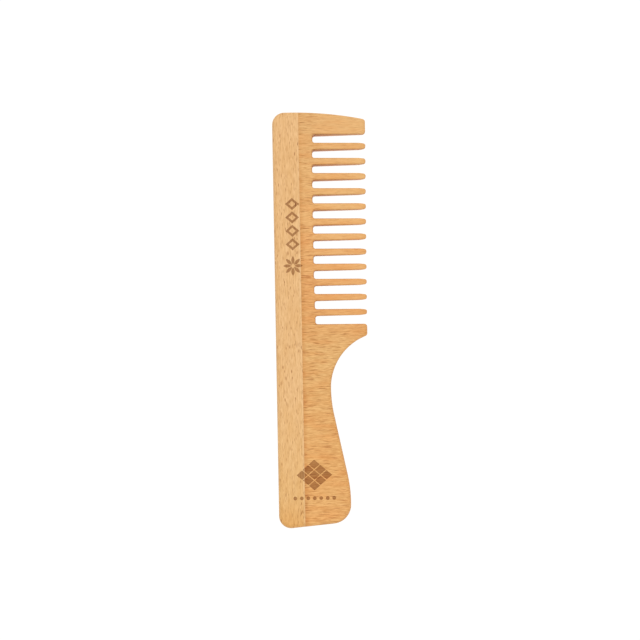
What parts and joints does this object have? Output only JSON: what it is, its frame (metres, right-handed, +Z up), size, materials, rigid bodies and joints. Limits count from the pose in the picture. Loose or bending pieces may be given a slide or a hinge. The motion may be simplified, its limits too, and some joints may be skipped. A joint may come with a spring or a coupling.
{
  "type": "beard comb",
  "caption": "Flat wooden wide-tooth comb with a flared handle and a finger sweep, glued up from a long-grain spine and a cross-grain tooth blade.",
  "frame": {"origin": "centre of the back face of the bounding box, with the comb lying flat on its back face", "axes": "+X across the comb towards the tips of the teeth, +Y along the comb towards the head end, +Z up out of the decorated front face"},
  "size_m": [0.0404, 0.18, 0.009],
  "materials": {
    "spine_beech": "oiled satin",
    "blade_beech": "oiled satin",
    "dried_glue": "matte"
  },
  "bodies": {
    "root": {"spine": "spine_beech", "tooth_blade": "blade_beech", "glue_line": "dried_glue"}
  },
  "joints": []
}
